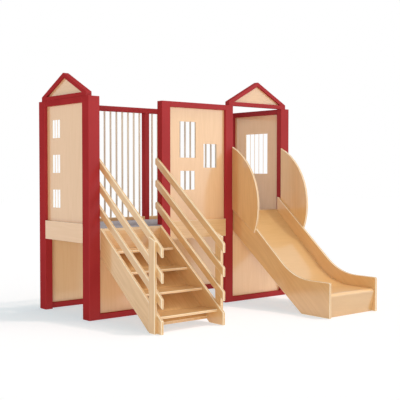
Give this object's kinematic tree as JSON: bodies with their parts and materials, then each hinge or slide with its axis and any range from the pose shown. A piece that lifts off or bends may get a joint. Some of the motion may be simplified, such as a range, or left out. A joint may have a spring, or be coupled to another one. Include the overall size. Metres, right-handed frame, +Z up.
{
  "type": "play castle",
  "caption": "Indoor play castle: a raised carpeted deck in a red timber frame with windowed wall panels, gables, a balustrade, an open stair with handrails and a wooden slide.",
  "frame": {"origin": "centre of the footprint, stair and slide included, on the floor", "axes": "+Z up; +X along the front from the stair to the slide; +Y to the back, so the stair and the slide run out towards -Y"},
  "size_m": [2.767, 2.417, 2.484],
  "materials": {
    "red_paint": "satin red paint on timber",
    "birch_panel": "clear satin lacquer on birch plywood",
    "beech_board": "clear satin lacquer on solid boards",
    "carpet": "low grey pile"
  },
  "bodies": {
    "root": {"post_front_left": "red_paint", "post_rear_left": "red_paint", "post_front_mid": "red_paint", "post_tower_left": "red_paint", "post_tower_right": "red_paint", "post_rear_right": "red_paint", "post_rear_mid": "red_paint", "left_top_rail": "red_paint", "left_fascia": "beech_board", "left_window_panel": "birch_panel", "left_gable_frame": "red_paint", "left_gable_infill": "birch_panel", "mid_top_rail": "red_paint", "mid_fascia": "beech_board", "mid_window_panel": "birch_panel", "stair_bay_bottom_rail": "red_paint", "stair_bay_lower_panel": "birch_panel", "stair_top_riser": "beech_board", "tower_bottom_rail": "red_paint", "tower_lower_panel": "birch_panel", "tower_gable_frame": "red_paint", "tower_gable_infill": "birch_panel", "slide_sill": "beech_board", "end_top_rail": "red_paint", "end_fascia": "beech_board", "end_window_panel": "birch_panel", "back_top_rail": "red_paint", "balustrade_left": "beech_board", "balustrade_right": "beech_board", "back_left_bottom_rail": "red_paint", "back_left_panel": "birch_panel", "back_right_bottom_rail": "red_paint", "back_right_panel": "birch_panel", "deck_carpet": "carpet", "deck_board": "beech_board", "deck_bearer_front": "beech_board", "deck_bearer_back": "beech_board", "deck_joist_1": "beech_board", "deck_joist_2": "beech_board", "stair_stringer_left": "beech_board", "stair_stringer_right": "beech_board", "stair_tread_1": "beech_board", "stair_tread_2": "beech_board", "stair_tread_3": "beech_board", "stair_tread_4": "beech_board", "stair_backing_board": "beech_board", "stair_newel_left": "beech_board", "stair_newel_right": "beech_board", "stair_handrail_left_1": "beech_board", "stair_handrail_left_2": "beech_board", "stair_handrail_left_3": "beech_board", "stair_handrail_right_1": "beech_board", "stair_handrail_right_2": "beech_board", "stair_handrail_right_3": "beech_board", "slide_side_left": "beech_board", "slide_side_right": "beech_board", "slide_bed": "beech_board", "slide_wing_left": "beech_board", "slide_wing_right": "beech_board"}
  },
  "joints": []
}
